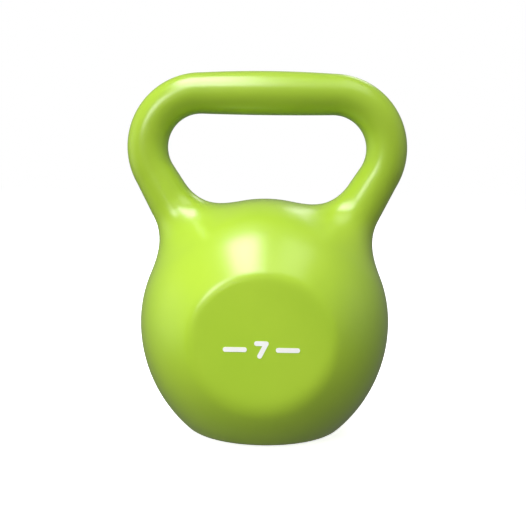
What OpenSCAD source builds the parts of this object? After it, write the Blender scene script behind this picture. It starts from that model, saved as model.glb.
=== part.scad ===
// Vinyl-coated kettlebell with a free hand bar. An iron-sand concrete bell is cast round the
// feet of a bent steel tube, a soft vinyl skin covers both, and a rubber pad is screwed
// under the bell. Millimetres, +Z up, +X along the hand bar, the marked face looks to -Y,
// and z = 0 is the floor under the pad, on the bell's own axis.

/* [Bell] */
// Largest diameter of the coated bell
bell_d = 170; // [140:1:204]
// Height of the bell's widest section above the floor
bell_z = 76; // [64:1:92]
// Distance between the flat front and back faces
face_gap = 144; // [118:1:152]
// Rounding of the rim round each flat face
face_round = 14; // [6:1:20]
// How much fuller than a ball the sides are below the middle
side_bulge = 13; // [6:1:18]
// Width of the bevel round the bell's bottom edge
base_bevel = 4; // [2:0.5:7]

/* [Handle] */
// Diameter of the coated hand bar at its middle
bar_d = 28.5; // [27:0.5:36]
// Diameter of the coated handle in its bends
bend_d = 27.5; // [26.5:0.5:34]
// Diameter of each coated leg where it starts to flare
leg_d = 30.5; // [28:0.5:36]
// Height of the hand bar's centreline above the floor
bar_z = 231; // [200:1:260]
// Length of the straight hand bar between its two bends
bar_len = 89; // [60:1:120]
// Bend radius of the handle on its centreline
bend_r = 36.4; // [28:1:46]
// Lean of each leg from the vertical
lean = 30; // [22:1:34]
// Length of a leg from its bend to where it starts to flare
leg_taper = 25; // [15:1:30]
// Radius of the hollow flare where a leg runs into the bell
flare_r = 60; // [40:1:90]
// Radius of the fillet in the lower corners of the hand window
window_r = 22; // [12:1:30]

/* [Vinyl coat] */
// Thickness of the vinyl over the bell
coat_t = 3; // [1.5:0.5:4]

/* [Handle tube] */
// Outside diameter of the steel tube
tube_d = 22; // [18:0.5:24]
// Wall of the steel tube
tube_wall = 2.5; // [1.5:0.5:3.5]
// Length of a tube foot, from its bend to its end in the concrete
foot_len = 88; // [76:1:96]
// Distance from the bend to where the concrete neck round the tube begins
neck_from = 36; // [32:1:42]
// Flange thickness of a tube cap
cap_flange = 2; // [1.5:0.5:4]
// How far a tube cap reaches into the tube
cap_plug = 9; // [6:1:14]
// Gap between a cap's plug and the tube
cap_fit = 0.1; // [0.05:0.05:0.3]

/* [Anchor rod] */
// Diameter of the rod through both tube feet
anchor_d = 8; // [6:0.5:10]
// How far each end of the rod sticks out of its tube foot
anchor_stick = 1.5; // [0.5:0.5:5]
// Gap between the rod and the plugs of the tube caps
anchor_over = 0.5; // [0.3:0.1:6]
// Gap round the rod where it passes through the tube's wall
anchor_fit = 0.15; // [0.05:0.05:0.4]

/* [Base] */
// Diameter of the rubber pad
pad_d = 76; // [56:1:80]
// Thickness of the rubber pad
pad_t = 8; // [7:0.5:12]
// Gap between the pad's edge and its seat
pad_fit = 0.4; // [0.2:0.1:1]
// Height of the coat's lower edge above the floor
pad_stand = 0.6; // [0.3:0.1:1.5]
// Rounding of the pad's two edges
pad_round = 0.5; // [0.2:0.1:1]
// Width of each ring groove in the pad's underside
groove_w = 3; // [2:0.5:4]
// Depth of the ring grooves
groove_h = 1.2; // [0.5:0.1:2]
// Diameter of the pocket for the screw's head
pocket_d = 30; // [26:1:34]
// Depth of the pocket
pocket_h = 5; // [4.5:0.5:5.5]
// Outside diameter of the washer
washer_d = 24; // [20:1:25]
// Thickness of the washer
washer_t = 1.6; // [1:0.1:2]
// Diameter of the base screw's shank
screw_d = 8; // [6:0.5:10]
// Length of the shank under the head
screw_len = 24; // [16:1:28]
// Diameter of the screw's low head
head_d = 14; // [12:0.5:18]
// Thickness of the screw's low head
head_h = 2.4; // [1.5:0.1:2.8]
// Width across flats of the hexagon socket in the head
socket_af = 5; // [4:0.5:6]
// Depth of the hexagon socket
socket_h = 1.8; // [1:0.1:2]
// Gap between the shank and what it passes through
screw_fit = 0.1; // [0.05:0.05:0.3]
// Outside diameter of the steel insert in the concrete
insert_d = 16; // [14:0.5:20]
// Length of the insert
insert_len = 32; // [26:1:36]
// Diameter of the insert's anchoring collar
collar_d = 24; // [20:0.5:30]
// Thickness of the collar
collar_t = 4; // [3:0.5:6]

/* [Weight mark] */
// Height of the numeral
mark_h = 11; // [8:0.5:14]
// Width of the numeral
mark_w = 9; // [6:0.5:11]
// Width of the painted strokes
stroke_w = 3; // [1.8:0.1:3.2]
// Length of the bar on each side of the numeral
dash_len = 15; // [8:0.5:18]
// Gap between the numeral and a bar
dash_gap = 4.5; // [3:0.5:6]
// Height of the mark's middle below the middle of the face
mark_drop = 5; // [0:0.5:12]
// Thickness of the paint film
mark_t = 0.25; // [0.15:0.05:0.4]

/* [Hidden] */
$fn = 96;
eps = 0.5;                                        // overlap of a cut past the face that it opens
bell_r = bell_d / 2;
leg_r = leg_d / 2;
tube_id = tube_d - 2 * tube_wall;
bend_x = bar_len / 2;
bend_z = bar_z - bend_r;
foot_top = [bend_x + bend_r * cos(lean), bend_z - bend_r * sin(lean)];  // x and z of a leg's top
arc_n = 6;                                        // straight steps in each hollow or barrelled outline
joint_bead = 0.2;                                 // how far the ball at a leg's top stands out
fillet_sink = 1;                                  // how deep the window fillet dips into the bell
bevel_slope = 20;                                 // of the bell's bottom bevel, from the floor
rim_slope = 11;                                   // of a face's rim, doubled past its step
rim_step = 5;                                     // width of the first slope

// The window fillet is a circle that touches the leg and the bell. Its middle lies window_r
// inside the leg and fillet_gap from the bell's middle, which gives its place along the leg.
fillet_r = leg_r + window_r;
fillet_0 = [foot_top[0] - fillet_r * cos(lean), foot_top[1] - bell_z + fillet_r * sin(lean)];
fillet_gap = bell_r + window_r - fillet_sink;
fillet_b = fillet_0[0] * sin(lean) + fillet_0[1] * cos(lean);
fillet_t = fillet_b - sqrt(pow(fillet_b, 2) - pow(norm(fillet_0), 2) + pow(fillet_gap, 2));
fillet_c = fillet_0 - fillet_t * [sin(lean), cos(lean)];
fillet_sweep = 180 - lean - atan2(fillet_c[1], fillet_c[0]);   // to the bell's side of the fillet

anchor_span = (tube_id / 2 - cap_fit) * tan(lean) + anchor_d / 2 / cos(lean);  // half, along a leg
anchor_at = foot_len - cap_plug - anchor_span - anchor_over;                   // from a leg's top
anchor_x = foot_top[0] - anchor_at * sin(lean);
anchor_z = foot_top[1] - anchor_at * cos(lean);
anchor_len = 2 * (anchor_x + (tube_d + anchor_d * sin(lean)) / 2 / cos(lean) + anchor_stick);
screw_z = pocket_h - washer_t;                    // underside of the shank, on the head

// Thickness of the flare at s past the start of the flare
function flare(s) = flare_r - sqrt(pow(flare_r, 2) - pow(s, 2));

// The bell's half outline, inset all over: a ball above, fuller sides below, a bevelled foot
module bell_outline(inset) {
    side = bell_r + side_bulge - inset;
    low = bell_z - pad_stand - inset;
    foot_x = sqrt(pow(side, 2) - pow(low, 2)) - side_bulge - base_bevel;
    intersection() {
        circle(r = bell_r - inset);
        square(bell_r);
    }
    intersection() {
        translate([-side_bulge, 0]) circle(r = side);
        polygon([[0, -low], [foot_x, -low], [foot_x + bell_r, bell_r * tan(bevel_slope) - low],
                 [foot_x + bell_r, 0], [0, 0]]);
    }
}

// A disc on the Y axis whose two ends are the flat faces, with their rims eased in two slopes
module face_disc(inset) {
    half = face_gap / 2 - inset;
    rim = face_round - inset;
    rim_x = sqrt(pow(bell_r - inset - rim, 2) - pow(half - rim, 2));
    step = [rim_x, half] + rim_step * [cos(rim_slope), -sin(rim_slope)];
    far = step + bell_r * [cos(2 * rim_slope), -sin(2 * rim_slope)];
    rotate([90, 0, 0]) rotate_extrude()
        polygon([[0, half], [rim_x, half], step, far,
                 [far[0], -far[1]], [step[0], -step[1]], [rim_x, -half], [0, -half]]);
}

module bell_form(inset) {
    translate([0, 0, bell_z]) intersection() {
        rotate_extrude() bell_outline(inset);
        face_disc(inset);
    }
}

module both_sides() {
    children();
    mirror([1, 0, 0]) children();
}

// Places a child on the right leg's axis, with z running down the leg from its bend
module on_leg(along) {
    translate([foot_top[0], 0, foot_top[1]]) rotate([0, 180 + lean, 0])
        translate([0, 0, along]) children();
}

// One bend of the handle, with a ball at its lower end that the leg grows out of
module bend(d) {
    translate([bend_x, 0, bend_z]) rotate([90, 0, 0])
        rotate_extrude(angle = 90 + lean, start = -lean) translate([bend_r, 0]) circle(d = d);
    on_leg(0) sphere(r = d / 2 + joint_bead);
}

// The hollow flare and the window fillet that lead the right leg into the bell
module root_form(inset) {
    run = flare_r * 0.66;
    on_leg(leg_taper) rotate_extrude()
        polygon(concat([[0, 0]],
                       [for (i = [0:arc_n]) let (s = run * i / arc_n) [leg_r - inset + flare(s), s]],
                       [[0, run]]));
    translate([fillet_c[0], 0, bell_z + fillet_c[1]]) rotate([90, 0, 0])
        rotate_extrude(angle = fillet_sweep, start = -lean - fillet_sweep)
            translate([fillet_r, 0]) circle(r = leg_r - inset);
}

// The outer shape of the coated handle: a slightly barrelled bar, bends, legs and roots
module handle_form() {
    rotate([0, 90, 0]) translate([-bar_z, 0, -bend_x]) rotate_extrude()
        polygon(concat([[0, 0]],
                       [for (i = [0:2 * arc_n]) let (u = i / arc_n - 1)
                           [(bend_d + (bar_d - bend_d) * (1 - u * u)) / 2, bar_len * i / (2 * arc_n)]],
                       [[0, bar_len]]));
    both_sides() {
        bend(bend_d);
        on_leg(0) cylinder(d1 = bend_d, d2 = leg_d, h = leg_taper);
        root_form(0);
    }
}

// A bent rod along the handle's centreline, its two feet past the given length by extra
module tube_path(d, extra) {
    rotate([0, 90, 0]) translate([-bar_z, 0, -bend_x]) cylinder(d = d, h = bar_len);
    both_sides() {
        bend(d);
        on_leg(0) cylinder(d = d, h = foot_len + extra);
    }
}

// The concrete's outer shape before anything is cast into it
module core_form() {
    bell_form(coat_t);
    both_sides() intersection() {
        root_form(coat_t);
        on_leg(neck_from) cylinder(r = bell_r, h = foot_len);
    }
}

module pad_seat(d) {
    translate([0, 0, -eps]) cylinder(d = d + 2 * pad_fit, h = pad_t + eps);
}

module vinyl_coat() {
    color([0.62, 0.80, 0.18]) difference() {
        union() {
            bell_form(0);
            handle_form();
        }
        core_form();
        tube_path(tube_d, 0);
        pad_seat(pad_d);
    }
}

module concrete_bell() {
    color([0.45, 0.44, 0.42]) difference() {
        core_form();
        tube_path(tube_d, cap_flange);
        anchor_rod();
        pad_seat(pad_d);
        translate([0, 0, pad_t - eps]) cylinder(d = insert_d, h = insert_len + eps);
        translate([0, 0, pad_t + insert_len - collar_t]) cylinder(d = collar_d, h = collar_t);
    }
}

module handle_tube() {
    color([0.62, 0.63, 0.65]) difference() {
        tube_path(tube_d, 0);
        tube_path(tube_id, eps);
        translate([-anchor_len / 2, 0, anchor_z]) rotate([0, 90, 0])
            cylinder(d = anchor_d + 2 * anchor_fit, h = anchor_len);
    }
}

module anchor_rod() {
    color([0.50, 0.50, 0.52]) translate([-anchor_len / 2, 0, anchor_z]) rotate([0, 90, 0])
        cylinder(d = anchor_d, h = anchor_len);
}

module tube_cap() {
    color([0.12, 0.12, 0.13]) {
        on_leg(foot_len) cylinder(d = tube_d, h = cap_flange);
        on_leg(foot_len - cap_plug) cylinder(d = tube_id - 2 * cap_fit, h = cap_plug);
    }
}

module tube_cap_right() {
    tube_cap();
}

module tube_cap_left() {
    mirror([1, 0, 0]) tube_cap();
}

module base_insert() {
    color([0.72, 0.70, 0.62]) difference() {
        union() {
            translate([0, 0, pad_t]) cylinder(d = insert_d, h = insert_len);
            translate([0, 0, pad_t + insert_len - collar_t]) cylinder(d = collar_d, h = collar_t);
        }
        translate([0, 0, pad_t - eps])
            cylinder(d = screw_d + 2 * screw_fit, h = insert_len - collar_t + eps);
    }
}

module base_pad() {
    groove_from = pocket_d / 2 + groove_w;
    groove_pitch = 2 * groove_w;
    rings = floor((pad_d / 2 - groove_w - groove_from) / groove_pitch);
    color([0.10, 0.10, 0.11]) difference() {
        rotate_extrude() polygon([[0, 0], [pad_d / 2 - pad_round, 0], [pad_d / 2, pad_round],
                                  [pad_d / 2, pad_t - pad_round], [pad_d / 2 - pad_round, pad_t],
                                  [0, pad_t]]);
        translate([0, 0, -eps]) cylinder(d = pocket_d, h = pocket_h + eps);
        cylinder(d = screw_d + 2 * pad_fit, h = pad_t + eps);
        for (i = [0:rings - 1]) translate([0, 0, -eps]) difference() {
            cylinder(r = groove_from + groove_w + i * groove_pitch, h = groove_h + eps);
            cylinder(r = groove_from + i * groove_pitch, h = groove_h + eps);
        }
    }
}

module base_washer() {
    color([0.70, 0.71, 0.73]) translate([0, 0, screw_z]) difference() {
        cylinder(d = washer_d, h = washer_t);
        translate([0, 0, -eps]) cylinder(d = screw_d + 2 * pad_fit, h = washer_t + 2 * eps);
    }
}

module base_screw() {
    color([0.55, 0.56, 0.58]) difference() {
        union() {
            translate([0, 0, screw_z]) cylinder(d = screw_d, h = screw_len);
            translate([0, 0, screw_z - head_h]) cylinder(d = head_d, h = head_h);
        }
        translate([0, 0, screw_z - head_h - eps])
            cylinder(d = socket_af / cos(30), h = socket_h + eps, $fn = 6);
    }
}

// A painted stroke between two points, with round ends
module stroke(from, to) {
    run = to - from;
    translate(from) rotate(atan2(run[1], run[0])) {
        translate([0, -stroke_w / 2]) square([norm(run), stroke_w]);
        circle(d = stroke_w);
        translate([norm(run), 0]) circle(d = stroke_w);
    }
}

module weight_mark() {
    top = (mark_h - stroke_w) / 2;
    side = (mark_w - stroke_w) / 2;
    dash_x = mark_w / 2 + dash_gap + stroke_w / 2;
    color([0.96, 0.96, 0.94]) translate([0, -face_gap / 2, bell_z - mark_drop])
        rotate([90, 0, 0]) linear_extrude(mark_t) {
            stroke([-side, top], [side, top]);
            stroke([side, top], [-side / 3, -top]);
            both_sides() stroke([dash_x, 0], [dash_x + dash_len - stroke_w, 0]);
        }
}

vinyl_coat();
concrete_bell();
handle_tube();
anchor_rod();
tube_cap_left();
tube_cap_right();
base_insert();
base_pad();
base_washer();
base_screw();
weight_mark();
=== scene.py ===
import bmesh
import bpy
import numpy as np
from mathutils import Matrix, Vector


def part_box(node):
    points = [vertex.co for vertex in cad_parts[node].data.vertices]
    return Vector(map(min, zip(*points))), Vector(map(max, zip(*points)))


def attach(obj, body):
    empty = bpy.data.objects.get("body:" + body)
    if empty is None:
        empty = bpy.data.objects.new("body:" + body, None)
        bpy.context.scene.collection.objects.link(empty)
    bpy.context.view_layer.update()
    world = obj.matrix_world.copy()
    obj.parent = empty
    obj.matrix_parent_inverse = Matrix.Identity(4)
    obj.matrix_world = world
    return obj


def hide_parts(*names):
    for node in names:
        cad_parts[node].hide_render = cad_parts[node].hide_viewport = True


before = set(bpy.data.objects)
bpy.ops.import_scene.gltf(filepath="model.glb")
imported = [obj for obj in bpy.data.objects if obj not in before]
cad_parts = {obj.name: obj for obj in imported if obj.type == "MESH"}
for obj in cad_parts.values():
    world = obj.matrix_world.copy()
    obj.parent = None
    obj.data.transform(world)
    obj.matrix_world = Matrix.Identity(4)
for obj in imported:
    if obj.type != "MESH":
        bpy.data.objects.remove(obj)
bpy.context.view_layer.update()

# ---- Handle tube, its caps and the anchor rod ----------------------------------------------
# A drawn steel tube, bent cold into the hand bar and two legs. Its feet are drilled for a plain
# rod that keys the handle into the concrete, and pressed plastic caps keep the mix out.


class Wire:
    """An output of a shader node. Arithmetic on it adds Math nodes, for single values only."""

    def __init__(self, shader, socket):
        self.shader, self.socket = shader, socket

    def maths(self, operation, *values):
        return self.shader.make("ShaderNodeMath", {"operation": operation}, dict(enumerate(values)))

    def __add__(self, other):
        return self.maths("ADD", self, other)

    def __mul__(self, other):
        return self.maths("MULTIPLY", self, other)

    def __rsub__(self, other):
        return self.maths("SUBTRACT", other, self)

    __radd__ = __add__
    __rmul__ = __mul__


class Finish:
    """A material under construction, with one Principled shader."""

    def __init__(self, name, **constants):
        self.material = bpy.data.materials.new(name)
        self.material.use_nodes = True
        self.tree = self.material.node_tree
        self.shader = self.tree.nodes["Principled BSDF"]
        self.set(**{key.replace("_", " "): value for key, value in constants.items()})

    def feed(self, socket, value):
        """Links a wire to a socket, or sets the socket's own number, vector or colour."""
        if isinstance(value, Wire):
            self.tree.links.new(value.socket, socket)
        elif hasattr(socket.default_value, "__len__") and len(socket.default_value) == 4:
            socket.default_value = (*value[:3], 1.0)
        else:
            socket.default_value = value

    def set(self, **values):
        for name, value in values.items():
            self.feed(self.shader.inputs[name], value)

    def make(self, kind, settings=None, values=None, out=0):
        """Adds any node: its settings first, then the values or wires of its inputs."""
        node = self.tree.nodes.new(kind)
        for name, value in (settings or {}).items():
            setattr(node, name, value)
        for name, value in (values or {}).items():
            self.feed(node.inputs[name], value)
        return Wire(self, node.outputs[out])

    def place(self, stretch=(1, 1, 1)):
        """The point on the piece, in metres, with each axis stretched."""
        at = self.make("ShaderNodeTexCoord", out="Object")
        return self.make("ShaderNodeMapping", values={"Vector": at, "Scale": stretch})

    def noise(self, size, detail=2.0, stretch=(1, 1, 1)):
        """Clouds of about the given size in metres, from 0 to 1."""
        return self.make("ShaderNodeTexNoise",
                         values={"Vector": self.place(stretch), "Scale": 1 / size, "Detail": detail})

    def ramp(self, wire, low, high):
        """Stretches a wire so that low becomes 0 and high becomes 1, with the ends held."""
        return self.make("ShaderNodeMapRange",
                         values={"Value": wire, "From Min": low, "From Max": high})

    def mix(self, share, first, second):
        """A colour between two others. A colour Mix node's inputs 0, 6 and 7 are its factor
        and its two colours, and its output 2 is the colour."""
        return self.make("ShaderNodeMix", {"data_type": "RGBA"},
                         {0: share, 6: first, 7: second}, out=2)

    def bump(self, *layers):
        """Layers of (height wire, depth in metres), each riding on the one before."""
        normal = None
        for height, depth in layers:
            values = {"Height": height, "Distance": depth, "Strength": 1.0}
            if normal is not None:
                values["Normal"] = normal
            normal = self.make("ShaderNodeBump", values=values)
        self.set(Normal=normal)


def wear(node, finish):
    """Gives a CAD node its finish."""
    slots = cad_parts[node].data.materials
    slots.clear()
    slots.append(finish.material)


def drawn_steel(name, colour, roughness):
    """Bright steel with fine lines along the X axis, a cloudy oil film and a trace of rust."""
    rust_brown = (0.16, 0.06, 0.02)
    finish = Finish(name, Metallic=1.0)
    lines = finish.noise(size=0.0006, detail=3.0, stretch=(0.05, 1, 1))
    film = finish.noise(size=0.018, detail=3.0)
    rust = finish.ramp(finish.noise(size=0.007, detail=5.0), low=0.62, high=0.72)
    bright = finish.mix(lines, colour, tuple(0.8 * c for c in colour))
    finish.set(**{"Base Color": finish.mix(rust * 0.5, bright, rust_brown),
                  "Roughness": roughness + 0.14 * film + 0.3 * rust,
                  "Metallic": 1 - 0.7 * rust})
    finish.bump((lines, 0.00002), (rust, 0.00004))
    return finish


wear("handle_tube", drawn_steel("tube_steel", colour=(0.50, 0.50, 0.51), roughness=0.26))
wear("anchor_rod", drawn_steel("rod_steel", colour=(0.33, 0.32, 0.31), roughness=0.38))

cap_plastic = Finish("cap_plastic")
cap_black, cap_worn = (0.018, 0.018, 0.019), (0.03, 0.03, 0.031)
pebble = cap_plastic.noise(size=0.0009, detail=3.0)
cap_plastic.set(**{"Base Color": cap_plastic.mix(cap_plastic.noise(size=0.009), cap_black, cap_worn),
                   "Roughness": 0.42 + 0.15 * pebble})
cap_plastic.bump((pebble, 0.00004))
for side in ("left", "right"):
    wear("tube_cap_" + side, cap_plastic)

# ---- Concrete bell and base insert -----------------------------------------------------------
# The weight itself: cement loaded with iron sand, cast round the tube's feet in a split mould.
# A plated steel bush is cast in the base, and the bell hangs from it while it is dipped.

concrete = Finish("iron_sand_concrete")
cement_dark, cement_pale = (0.17, 0.16, 0.145), (0.29, 0.275, 0.25)
iron_black = (0.045, 0.04, 0.038)
grains_per_metre = 420.0
paste = concrete.noise(size=0.012, detail=6.0)
grit = concrete.make("ShaderNodeTexVoronoi",
                     values={"Vector": concrete.place(), "Scale": grains_per_metre})
iron = concrete.ramp(grit, low=0.24, high=0.10)
pits = concrete.ramp(concrete.noise(size=0.0035, detail=3.0), low=0.36, high=0.28)
cement = concrete.mix(paste, cement_dark, cement_pale)
concrete.set(**{"Base Color": concrete.mix(iron * 0.8, cement, iron_black),
                "Roughness": 0.93 - 0.3 * iron,
                "Metallic": 0.35 * iron})
concrete.bump((paste, 0.0004), (pits, -0.0007), (iron, 0.00012))
wear("concrete_bell", concrete)


def plated_steel(name, colour):
    """Zinc-plated turned steel: faint rings from the tool, and a mottled passivated tint."""
    finish = Finish(name, Metallic=1.0)
    mottle = finish.noise(size=0.0035, detail=4.0)
    rings = finish.make("ShaderNodeTexWave", {"wave_type": "RINGS", "rings_direction": "Z"},
                        {"Vector": finish.place(), "Scale": 900.0, "Distortion": 0.4})
    finish.set(**{"Base Color": finish.mix(mottle, colour, tuple(0.72 * c for c in colour)),
                  "Roughness": 0.24 + 0.2 * mottle})
    finish.bump((rings, 0.000012))
    return finish


wear("base_insert", plated_steel("insert_steel", colour=(0.62, 0.53, 0.30)))

# ---- Vinyl coat ------------------------------------------------------------------------------
# One seamless skin of soft lime-green PVC, about 3 mm thick. The heated casting is dipped in
# liquid vinyl and cured, so the skin pools in every inside corner and rounds every edge.

coat_low, coat_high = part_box("vinyl_coat")
face_half = coat_high.y                  # from the middle to each flat face
bar_r = 0.01425                          # hand bar, at its middle
bend_tube_r = 0.01375                    # handle, in its bends
root_tube_r = 0.01525                    # legs, where they meet the bell
bend_r = 0.0364                          # of the handle's centreline
lean = np.radians(30)                    # of the legs, from upright
leg_taper = 0.025                        # length over which a leg thickens
leg_run = 0.095                          # length of a leg, from its bend to deep in the bell
bar_z = coat_high.z - bar_r              # height of the bar's centreline
bar_half = coat_high.x - bend_r - bend_tube_r
bell_r = 0.085
bell_z = 0.076                           # height of the bell's widest section
side_bulge = 0.013                       # how far the lower sides are fuller than a ball
face_taper = 0.025                       # share by which the bell thins half a radius up or down
root_blend = 0.0240                      # reach of the fillet where a leg meets the bell
window_blend = 0.0035                    # how much further it reaches inside the hand window
bar_crown = 0.0004                       # extra radius and rise of the vinyl at the bar's middle
crown_drop = 0.0006                      # how far the bell's top is flatter than a ball
coat_wall = 0.0030                       # thickness of the skin
seat_r = 0.0384                          # of the round opening for the base pad
rim_blend = 0.0022                       # reach of the rounding at the top of each flat face
rim_soften = 0.0016                      # how much further it reaches at the face's foot
rim_fall = 0.04                          # depth below the widest section where it reaches furthest
foot_blend = 0.0035                      # reach of the rounding round the base
window_x, window_z = 0.0, 0.188          # a point inside the hand window


def soft_max(a, b, reach):
    """The larger of a and b; where they differ by less than reach, a parabola rounds the edge."""
    overlap = np.maximum(reach - np.abs(a - b), 0)
    return np.maximum(a, b) + overlap ** 2 / (4 * reach)


def bell_depth(x, y, z):
    """Height above the bell's surface: a ball above the middle, below it an arc of larger radius
    centred past the axis, cut by the base and by the two flat faces with rounded edges. The top
    is pressed down a little, and y is stretched away from the middle, which thins the bell."""
    up = z - bell_z
    side = np.where(up < 0, side_bulge, 0.0)
    deep = y * (1 + face_taper * (up / (bell_r / 2)) ** 2)
    crown = up + crown_drop * np.clip(up / bell_r, 0, 1) ** 3
    round_part = np.hypot(np.hypot(x, deep) + side, crown) - (bell_r + side)
    based = soft_max(round_part, coat_low.z - z, foot_blend)
    rim = rim_blend + rim_soften * np.clip(-up / rim_fall, 0, 1)
    return soft_max(based, np.abs(y) - face_half, rim)


def handle_depth(x, y, z):
    """Height above the handle's surface: the distance to a centreline of bar, arc and leaning
    leg, less a radius that swells towards the bar's middle and down the leg."""
    far = 1.0
    out = np.abs(x) - bar_half
    up = z - (bar_z - bend_r)
    middling = np.clip(1 - (x / bar_half) ** 2, 0, 1)
    bar = np.hypot(np.maximum(out, 0), z - bar_z - bar_crown * middling)
    angle = np.arctan2(up, out)
    on_arc = (angle < np.pi / 2) & (angle > -lean)
    arc = np.where(on_arc, np.abs(np.hypot(out, up) - bend_r), far)
    leg_out, leg_up = out - bend_r * np.cos(lean), up + bend_r * np.sin(lean)
    down = np.clip(-leg_out * np.sin(lean) - leg_up * np.cos(lean), 0, leg_run)
    leg = np.hypot(leg_out + down * np.sin(lean), leg_up + down * np.cos(lean))
    barrel = bend_tube_r + (bar_r + bar_crown - bend_tube_r) * middling
    swell = bend_tube_r + (root_tube_r - bend_tube_r) * np.clip(down / leg_taper, 0, 1)
    radius = np.where(leg < np.minimum(bar, arc), swell, barrel)
    return np.hypot(np.minimum(np.minimum(bar, arc), leg), y) - radius


def coat_depth(x, y, z):
    """Height above the coat: the bell and handle joined, with a hollow blend where they meet
    that reaches further on the window's side of a leg than on its outer side."""
    inward = np.clip((bar_half + bend_r / 2 - np.abs(x)) / bend_r * 2, -1, 1)
    blend = root_blend + window_blend * inward
    return -soft_max(-bell_depth(x, y, z), -handle_depth(x, y, z), blend)


def ring_centres(turn):
    """The coat's middle and its width on each half-plane that fans out from the window. Along
    the ray (cos turn, sin turn) from the window's point, the first and last point inside the
    coat are found: the middle is halfway between them, and the width is what separates them."""
    reach = np.linspace(0.01, 0.24, 900)
    x = window_x + np.cos(turn)[:, None] * reach
    z = window_z + np.sin(turn)[:, None] * reach
    inside = coat_depth(x, 0 * x, z) < 0
    first = reach[np.argmax(inside, axis=1)]
    last = reach[len(reach) - 1 - np.argmax(inside[:, ::-1], axis=1)]
    return (first + last) / 2, last - first


def even_turns(count):
    """Angles round the window, closer together where a ring's middle moves fast or is wide: the
    pace is the speed of the middle plus half the width, and each step covers an equal run."""
    fine = np.linspace(-np.pi, np.pi, 2001)
    middle, width = ring_centres(fine)
    x, z = middle * np.cos(fine), middle * np.sin(fine)
    pace = np.hypot(np.gradient(x, fine), np.gradient(z, fine)) + 0.5 * width
    run = np.concatenate([[0], np.cumsum((pace[1:] + pace[:-1]) / 2)])
    return np.interp(np.arange(count) / count * run[-1], run, fine)


def grid_mesh(name, points, closed=(True, True)):
    """A mesh of quads over a grid of points, each way joined end to end where closed says so.
    Points that fall together, as at the poles of a turned shape, are merged."""
    rows, columns = points.shape[:2]
    i = np.arange(rows if closed[0] else rows - 1)[:, None]
    j = np.arange(columns if closed[1] else columns - 1)[None, :]
    i1, j1 = (i + 1) % rows, (j + 1) % columns
    quads = np.stack([i * columns + j, i1 * columns + j, i1 * columns + j1, i * columns + j1], -1)
    quads = quads.reshape(-1, 4)
    mesh = bpy.data.meshes.new(name)
    mesh.vertices.add(rows * columns)
    mesh.vertices.foreach_set("co", points.reshape(-1).astype(np.float32))
    mesh.loops.add(quads.size)
    mesh.loops.foreach_set("vertex_index", quads.reshape(-1).astype(np.int32))
    mesh.polygons.add(len(quads))
    mesh.polygons.foreach_set("loop_start", np.arange(0, quads.size, 4, dtype=np.int32))
    mesh.polygons.foreach_set("use_smooth", np.ones(len(quads), bool))
    mesh.update(calc_edges=True)
    joined = bmesh.new()
    joined.from_mesh(mesh)
    bmesh.ops.remove_doubles(joined, verts=joined.verts, dist=1e-7)
    joined.to_mesh(mesh)
    joined.free()
    return mesh


def coat_surface(turns, around, sunk=0.0):
    """Points of the coat, or of a surface sunk below it. For each angle round the window and
    each angle phi round the ring there, the point is the ring's middle plus reach times (cos phi,
    sin phi), and reach shrinks by nine tenths of the depth at the point, until none is left."""
    turn = even_turns(turns)
    middle, _ = ring_centres(turn)
    phi = -np.arange(around) / around * 2 * np.pi
    ray_x, ray_z = np.cos(turn)[:, None], np.sin(turn)[:, None]
    start, share, rounds = 0.002, 0.9, 90
    reach = np.full((turns, around), start)
    for _ in range(rounds):
        out = middle[:, None] + reach * np.cos(phi)
        depth = coat_depth(window_x + ray_x * out, reach * np.sin(phi), window_z + ray_z * out)
        reach = reach - share * (depth + sunk)
    out = middle[:, None] + reach * np.cos(phi)
    return np.stack([window_x + ray_x * out, reach * np.sin(phi), window_z + ray_z * out], -1)


def lathe(outline, steps):
    """Points of a turned shape: each (radius, height) of the outline carried round the Z axis."""
    angle = np.arange(steps) / steps * 2 * np.pi
    radius, height = np.asarray(outline).T
    return np.stack([radius[:, None] * np.cos(angle), radius[:, None] * np.sin(angle),
                     height[:, None] + 0 * angle], -1)


def new_object(name, mesh):
    made = bpy.data.objects.new(name, mesh)
    bpy.context.scene.collection.objects.link(made)
    return made


seat_top, seat_foot = 0.008, -0.01       # the pad's opening, from inside the coat to below it
opening_outline = [(0, seat_top), (seat_r, seat_top), (seat_r, seat_foot), (0, seat_foot)]
coat = new_object("vinyl_skin", grid_mesh("vinyl_skin", coat_surface(turns=344, around=228)))
cavity = new_object("cavity", grid_mesh("cavity", coat_surface(180, 96, sunk=coat_wall)))
opening = new_object("opening", grid_mesh("opening", lathe(opening_outline, 128), (False, True)))
for tool in (cavity, opening):
    cut = coat.modifiers.new(tool.name, "BOOLEAN")
    cut.operation, cut.object, cut.solver = "DIFFERENCE", tool, "EXACT"
bpy.context.view_layer.update()
shell = bpy.data.meshes.new_from_object(coat.evaluated_get(bpy.context.evaluated_depsgraph_get()))
coat.modifiers.clear()
coat.data = shell
shell.name = "vinyl_skin"
shell.set_sharp_from_angle(angle=np.radians(40))
for tool in (cavity, opening):
    bpy.data.objects.remove(tool)

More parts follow.
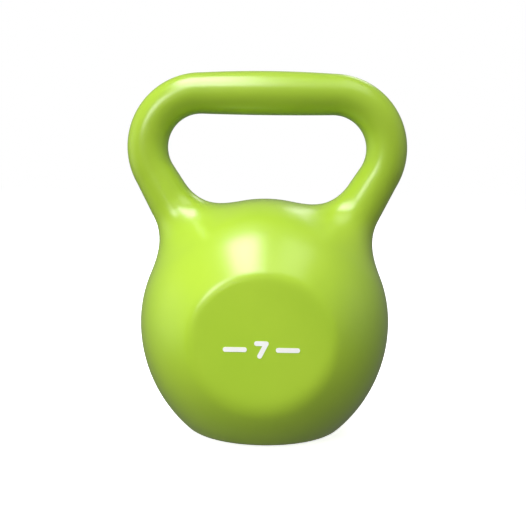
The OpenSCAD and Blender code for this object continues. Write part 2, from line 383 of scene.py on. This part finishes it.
vinyl = Finish("lime_vinyl", IOR=1.5, Coat_Roughness=0.25)
lime_dark, lime_pale = (0.385, 0.600, 0.030), (0.420, 0.630, 0.036)
sag = vinyl.noise(size=0.045, detail=1.0)
peel = vinyl.noise(size=0.0030, detail=2.0)
dust = vinyl.noise(size=0.0006, detail=1.0)
batch = vinyl.ramp(vinyl.noise(size=0.06, detail=3.0), low=0.3, high=0.7)
vinyl.set(**{"Base Color": vinyl.mix(batch, lime_dark, lime_pale),
             "Roughness": 0.27 + 0.05 * sag + 0.03 * dust,
             "Coat Weight": 0.75 + 0.2 * sag})
vinyl.bump((sag, 0.0006), (peel, 0.00003), (dust, 0.000004))
shell.materials.clear()
shell.materials.append(vinyl.material)
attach(coat, "root")
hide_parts("vinyl_coat")

# ---- Weight mark -----------------------------------------------------------------------------
# A numeral between two bars, pad-printed on the front face in white ink about 0.25 mm thick.

ink = Finish("white_ink")
ink_white, ink_thin = (0.95, 0.95, 0.94), (0.88, 0.89, 0.85)
speckle = ink.noise(size=0.0007, detail=3.0)
ink.set(**{"Base Color": ink.mix(ink.noise(size=0.006, detail=3.0), ink_white, ink_thin),
           "Roughness": 0.34 + 0.12 * speckle})
ink.bump((speckle, 0.00003))
wear("weight_mark", ink)

# ---- Base pad, washer and screw --------------------------------------------------------------
# A moulded rubber disc with two grip grooves sits in the base, held up by one low-headed screw
# and a plated washer in its middle pocket.

rubber = Finish("pad_rubber")
rubber_black, rubber_bloom = (0.016, 0.016, 0.017), (0.045, 0.044, 0.042)
bloom = rubber.noise(size=0.012, detail=4.0)
grain = rubber.noise(size=0.0008, detail=3.0)
rubber.set(**{"Base Color": rubber.mix(rubber.ramp(bloom, low=0.4, high=0.8),
                                       rubber_black, rubber_bloom),
              "Roughness": 0.68 + 0.2 * bloom})
rubber.bump((grain, 0.00008))
wear("base_pad", rubber)

screw_steel = plated_steel("screw_steel", colour=(0.60, 0.62, 0.64))
for node in ("base_washer", "base_screw"):
    wear(node, screw_steel)

# ---- Studio ----------------------------------------------------------------------------------
# A pale floor just under the pad, two softboxes overhead, one in front and one behind, three
# dim fills, and a narrow light on the flat face. The surround is white where the camera sees it.

floor_half, floor_z = 3.0, -0.0004
floor_x, floor_y = np.meshgrid([-floor_half, floor_half], [-floor_half, floor_half], indexing="ij")
floor = new_object("floor", grid_mesh(
    "floor", np.stack([floor_x, floor_y, 0 * floor_x + floor_z], -1), (False, False)))
paper = Finish("floor_paper", Roughness=0.9, Emission_Color=(1, 1, 1), Emission_Strength=0.8)
paper_grey, paper_white = (0.90, 0.90, 0.90), (0.92, 0.92, 0.92)
paper.set(**{"Base Color": paper.mix(paper.noise(size=0.4), paper_grey, paper_white)})
floor.data.materials.append(paper.material)
floor.visible_diffuse = False
floor.visible_glossy = False


def looking(place, aim):
    """The matrix of a light or camera at a place, its -Z axis turned to its aim."""
    place, aim = Vector(place), Vector(aim)
    return Matrix.Translation(place) @ (aim - place).to_track_quat("-Z", "Y").to_matrix().to_4x4()


def softbox(name, place, aim, width, length, radiance, glossy=True):
    """A flat light of even radiance, its face turned from its place to its aim. Its power is
    the radiance times pi times its area. The length runs up, or front to back overhead."""
    light = bpy.data.lights.new(name, "AREA")
    light.shape, light.size, light.size_y = "RECTANGLE", width, length
    light.energy = radiance * np.pi * width * length
    lamp = new_object(name, light)
    lamp.matrix_world = looking(place, aim)
    lamp.visible_glossy = glossy


waist = (0.0, 0.0, 0.12)                 # the middle of the kettlebell
softbox("key_softbox", place=(-0.315, -0.69, 1.22), aim=(-0.315, -0.69, 0),
        width=0.47, length=1.50, radiance=7.65)
softbox("right_softbox", place=(0.46, -0.46, 1.22), aim=(0.46, -0.46, 0),
        width=0.52, length=1.04, radiance=1.5)
softbox("front_softbox", place=(-1.035, -1.594, 0.90), aim=waist,
        width=0.62, length=0.8, radiance=5.8)
softbox("back_softbox", place=(0.48, 1.31, 1.25), aim=waist,
        width=0.5, length=0.35, radiance=2.5)
softbox("left_fill", place=(-1.4, 0.1, 0.15), aim=waist,
        width=1.0, length=1.0, radiance=3.6, glossy=False)
softbox("right_fill", place=(1.4, 0.1, 0.3), aim=waist,
        width=1.0, length=1.0, radiance=1.1, glossy=False)
softbox("back_fill", place=(-0.5, 1.7, 0.5), aim=waist,
        width=1.0, length=1.0, radiance=2.0, glossy=False)

beam = bpy.data.lights.new("face_spot", "SPOT")
beam.energy = 22.5                       # watts
beam.spot_size = np.radians(16)
beam.spot_blend = 1.0
beam.shadow_soft_size = 0.12
beam_lamp = new_object("face_spot", beam)
beam_lamp.matrix_world = looking((-0.25, -1.0, 0.22), (0, 0, 0.068))
beam_lamp.visible_glossy = False

world = bpy.data.worlds.new("surround")
world.use_nodes = True
bpy.context.scene.world = world
nodes, links = world.node_tree.nodes, world.node_tree.links


def world_node(kind, **inputs):
    """Adds a node to the surround and sets or links its inputs by name."""
    node = nodes.new(kind)
    for name, value in inputs.items():
        socket = node.inputs[name.replace("_", " ")]
        if isinstance(value, bpy.types.NodeSocket):
            links.new(value, socket)
        else:
            socket.default_value = value
    return node


white = (1, 1, 1, 1)
direction = world_node("ShaderNodeTexCoord").outputs["Generated"]
gaze = world_node("ShaderNodeSeparateXYZ", Vector=direction)
dusk = world_node("ShaderNodeMapRange", Value=gaze.outputs["Z"], From_Min=-0.35, From_Max=0.35,
                  To_Min=0.125, To_Max=0.21)
lit = world_node("ShaderNodeBackground", Strength=dusk.outputs["Result"], Color=white)
seen = world_node("ShaderNodeBackground", Strength=1.0, Color=white)
path = world_node("ShaderNodeLightPath")
choose = world_node("ShaderNodeMixShader")
links.new(path.outputs["Is Camera Ray"], choose.inputs[0])
links.new(lit.outputs[0], choose.inputs[1])
links.new(seen.outputs[0], choose.inputs[2])
links.new(choose.outputs[0], nodes["World Output"].inputs["Surface"])

camera = bpy.data.cameras.new("camera")
camera.sensor_width = 36
camera.lens = 67.5
distance = 0.684                         # from the bell's middle
pitch, swing, roll = np.radians([10.6, -1.4, 0.75])
sight = Vector((np.sin(swing) * np.cos(pitch), np.cos(swing) * np.cos(pitch), -np.sin(pitch)))
bell_middle = Vector((0, 0, bell_z))
stand = bell_middle - distance * sight
aim = bell_middle + Vector((-0.0016, 0, 0.0406))
camera_object = new_object("camera", camera)
camera_object.matrix_world = looking(stand, aim) @ Matrix.Rotation(roll, 4, "Z")
bpy.context.scene.camera = camera_object
bpy.context.scene.view_settings.view_transform = "Standard"
